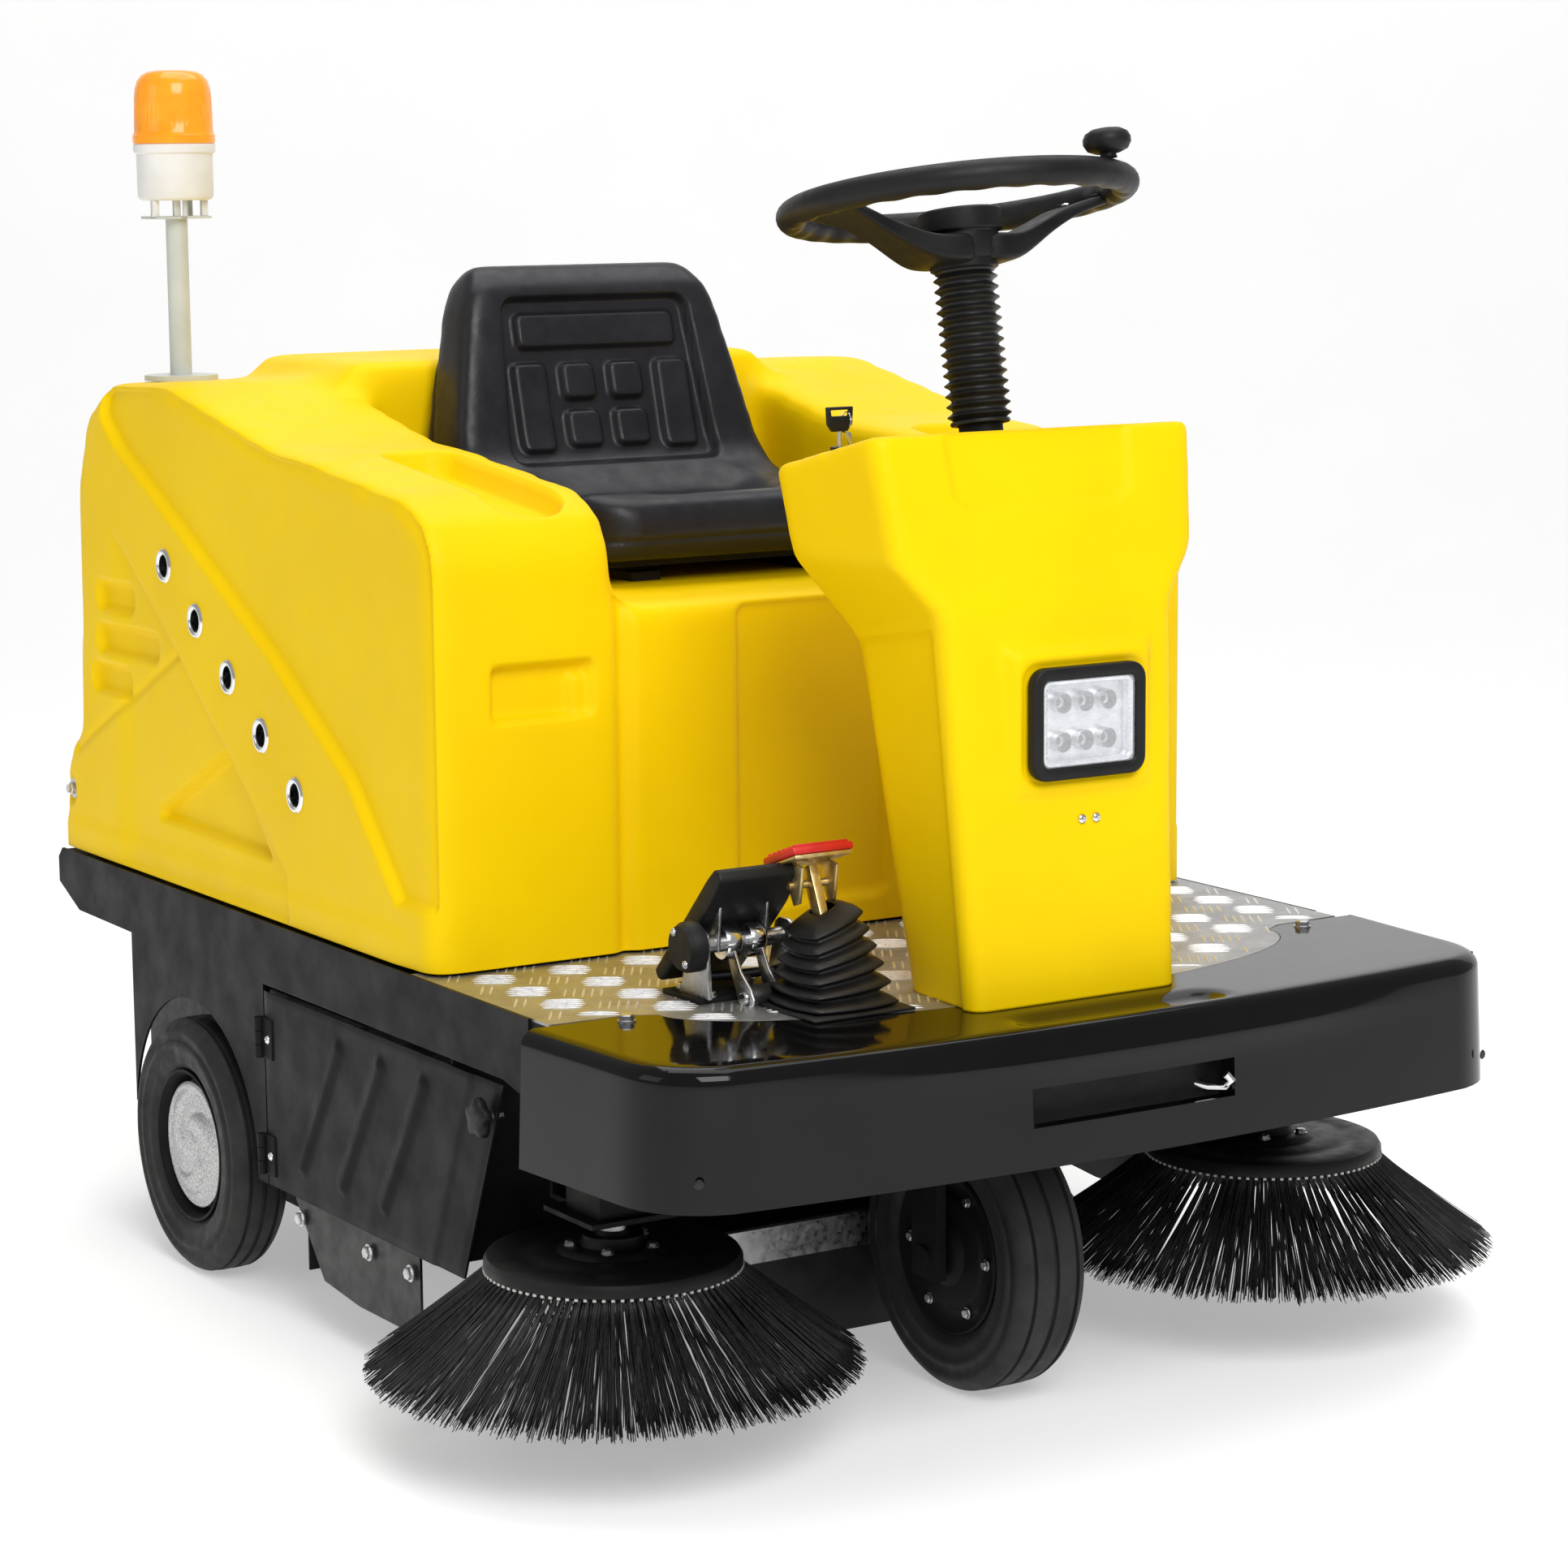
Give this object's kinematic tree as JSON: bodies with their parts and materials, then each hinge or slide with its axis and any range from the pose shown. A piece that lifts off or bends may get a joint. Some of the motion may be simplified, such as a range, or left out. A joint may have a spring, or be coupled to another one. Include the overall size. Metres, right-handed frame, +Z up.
{
  "type": "ride-on sweeper",
  "caption": "Ride-on floor sweeper: yellow tilting body with seat and beacon, steering pedestal with headlight, gloss black bumper, side brushes, main brush and rear hopper.",
  "frame": {"origin": "on the floor under the centre of the machine's outline", "axes": "+Z up, -Y the driving direction (front), +X the machine's left side; metres"},
  "size_m": [1.31, 1.4999, 1.3501],
  "materials": {
    "black_paint": "satin",
    "chequer_plate": "tread plate",
    "bumper_gloss": "gloss",
    "yellow_plastic": "satin moulded",
    "tyre": "matte",
    "rubber": "matte",
    "rim_metal": "cast",
    "steel": "zinc plated",
    "black_plastic": "fine grain",
    "bristle": "nylon",
    "seat_vinyl": "vinyl",
    "chrome": "polished",
    "lens": "clear",
    "amber": "tinted",
    "white_plastic": "satin",
    "grey_paint": "satin",
    "brass": "yellow zinc"
  },
  "bodies": {
    "chassis": {"main_frame": "black_paint", "side_plate_right": "black_paint", "side_plate_left": "black_paint", "deck_plate": "chequer_plate", "front_bumper": "bumper_gloss", "brush_housing": "black_paint", "flap_clamp": "steel", "dust_flap": "rubber", "side_skirts": "black_paint", "stub_axles": "black_paint", "steering_column": "black_plastic", "column_bellows": "rubber", "steering_chain": "steel", "console_shell": "yellow_plastic", "dash_panel": "black_plastic", "headlight_housing": "black_plastic", "headlight_lens": "lens", "pedal_brackets": "black_paint", "brake_boot": "rubber", "brush_motor": "black_plastic", "drive_belt": "rubber", "batteries": "black_plastic", "bolts_and_screws": "steel", "cover_hinges": "black_paint"},
    "steering_wheel": {"steering_shaft": "steel", "steering_wheel": "black_plastic"},
    "spinner_knob": {"spinner_knob": "black_plastic"},
    "front_fork": {"front_fork": "black_paint"},
    "front_wheel": {"front_tyre": "tyre", "drive_hub": "rim_metal"},
    "rear_wheel_right": {"rear_tyre_right": "tyre", "rear_rim_right": "rim_metal"},
    "rear_wheel_left": {"rear_tyre_left": "tyre", "rear_rim_left": "rim_metal"},
    "brush_lift_right": {"brush_lift_right": "black_paint"},
    "brush_lift_left": {"brush_lift_left": "black_paint"},
    "side_brush_right": {"side_brush_disc_right": "black_plastic", "side_bristles_right": "bristle"},
    "side_brush_left": {"side_brush_disc_left": "black_plastic", "side_bristles_left": "bristle"},
    "main_brush": {"main_brush": "bristle"},
    "motor_pulley": {"motor_pulley": "steel"},
    "dust_hopper": {"dust_hopper": "black_plastic"},
    "body_cover": {"body_cover": "yellow_plastic", "cover_grommets": "chrome", "seat_rails": "black_paint", "beacon_pole": "grey_paint", "beacon_base": "white_plastic", "beacon_dome": "amber"},
    "seat": {"seat_base": "black_paint", "seat": "seat_vinyl"},
    "accelerator_pedal": {"accelerator_pedal": "black_plastic"},
    "brake_pedal": {"brake_pedal": "brass"},
    "ignition_key": {"ignition_key": "steel"},
    "direction_rocker": {"direction_rocker": "black_plastic"},
    "horn_button": {"horn_button": "black_plastic"},
    "side_door_right": {"side_door_right": "black_paint"},
    "side_door_left": {"side_door_left": "black_paint"},
    "door_knob_right": {"door_knob_right": "black_plastic"},
    "door_knob_left": {"door_knob_left": "black_plastic"}
  },
  "joints": [
    {"name": "fork_turn", "type": "hinge", "parent": "chassis", "child": "front_fork", "pos_m": [0, -0.475, 0.36], "axis": [0, 0, 1], "range_deg": [-45, 45]},
    {"name": "steering_turn", "type": "hinge", "parent": "chassis", "child": "steering_wheel", "pos_m": [0, -0.44778, 1.2034], "axis": [0, 0.1788, 0.9839], "range_deg": [-135, 135]},
    {"name": "spinner_turn", "type": "hinge", "parent": "steering_wheel", "child": "spinner_knob", "pos_m": [0.083, -0.58922, 1.2291], "axis": [0, 0.1788, 0.9839], "continuous": true},
    {"name": "front_wheel_spin", "type": "hinge", "parent": "front_fork", "child": "front_wheel", "pos_m": [0, -0.475, 0.145], "axis": [1, 0, 0], "continuous": true},
    {"name": "rear_wheel_spin_right", "type": "hinge", "parent": "chassis", "child": "rear_wheel_right", "pos_m": [-0.4685, 0.368, 0.145], "axis": [1, 0, 0], "continuous": true},
    {"name": "rear_wheel_spin_left", "type": "hinge", "parent": "chassis", "child": "rear_wheel_left", "pos_m": [0.4685, 0.368, 0.145], "axis": [1, 0, 0], "continuous": true},
    {"name": "brush_lower_right", "type": "slide", "parent": "chassis", "child": "brush_lift_right", "axis": [0, 0, -1], "range_m": [0, 0.07]},
    {"name": "side_brush_spin_right", "type": "hinge", "parent": "brush_lift_right", "child": "side_brush_right", "pos_m": [-0.405, -0.441, 0.21], "axis": [0, 0, 1], "continuous": true},
    {"name": "brush_lower_left", "type": "slide", "parent": "chassis", "child": "brush_lift_left", "axis": [0, 0, -1], "range_m": [0, 0.07]},
    {"name": "side_brush_spin_left", "type": "hinge", "parent": "brush_lift_left", "child": "side_brush_left", "pos_m": [0.405, -0.441, 0.21], "axis": [0, 0, 1], "continuous": true},
    {"name": "main_brush_spin", "type": "hinge", "parent": "chassis", "child": "main_brush", "pos_m": [0, -0.075, 0.152], "axis": [1, 0, 0], "continuous": true},
    {"name": "motor_pulley_spin", "type": "hinge", "parent": "chassis", "child": "motor_pulley", "pos_m": [0.366, 0.035, 0.358], "axis": [1, 0, 0], "continuous": true},
    {"name": "hopper_pull", "type": "slide", "parent": "chassis", "child": "dust_hopper", "axis": [0, 1, 0], "range_m": [0, 0.5]},
    {"name": "cover_tilt", "type": "hinge", "parent": "chassis", "child": "body_cover", "pos_m": [0, 0.731, 0.506], "axis": [-1, 0, 0], "range_deg": [0, 70]},
    {"name": "seat_slide", "type": "slide", "parent": "body_cover", "child": "seat", "axis": [0, -1, 0], "range_m": [0, 0.08]},
    {"name": "accelerator_press", "type": "hinge", "parent": "chassis", "child": "accelerator_pedal", "pos_m": [-0.262, -0.455, 0.49], "axis": [1, 0, 0], "range_deg": [0, 18], "stiffness_Nm_per_rad": 6, "springref_deg": -20.05},
    {"name": "brake_press", "type": "hinge", "parent": "chassis", "child": "brake_pedal", "pos_m": [-0.2, -0.535, 0.412], "axis": [1, 0, 0], "range_deg": [0, 12], "stiffness_Nm_per_rad": 25, "springref_deg": -20.05, "deforming": ["brake_boot"]},
    {"name": "key_turn", "type": "hinge", "parent": "chassis", "child": "ignition_key", "pos_m": [-0.15, -0.462, 1], "axis": [0, 0, -1], "range_deg": [0, 90]},
    {"name": "rocker_tilt", "type": "hinge", "parent": "chassis", "child": "direction_rocker", "pos_m": [0.0493, -0.47894, 0.96846], "axis": [1, 0, 0], "range_deg": [-8, 8]},
    {"name": "horn_press", "type": "slide", "parent": "chassis", "child": "horn_button", "axis": [0, -0.2334, -0.9724], "range_m": [0, 0.003], "stiffness_N_per_m": 400, "springref_m": -0.004},
    {"name": "door_open_right", "type": "hinge", "parent": "chassis", "child": "side_door_right", "pos_m": [-0.4925, 0.177, 0.25], "axis": [0, 0, -1], "range_deg": [0, 100]},
    {"name": "door_open_left", "type": "hinge", "parent": "chassis", "child": "side_door_left", "pos_m": [0.4925, 0.177, 0.25], "axis": [0, 0, 1], "range_deg": [0, 100]},
    {"name": "knob_turn_right", "type": "hinge", "parent": "side_door_right", "child": "door_knob_right", "pos_m": [-0.487, -0.348, 0.322], "axis": [1, 0, 0], "continuous": true},
    {"name": "knob_turn_left", "type": "hinge", "parent": "side_door_left", "child": "door_knob_left", "pos_m": [0.487, -0.348, 0.322], "axis": [1, 0, 0], "continuous": true}
  ],
  "couplings": [
    {"joint": "steering_turn", "follows": "fork_turn", "ratio": 3},
    {"joint": "motor_pulley_spin", "follows": "main_brush_spin", "ratio": 2.0268}
  ]
}
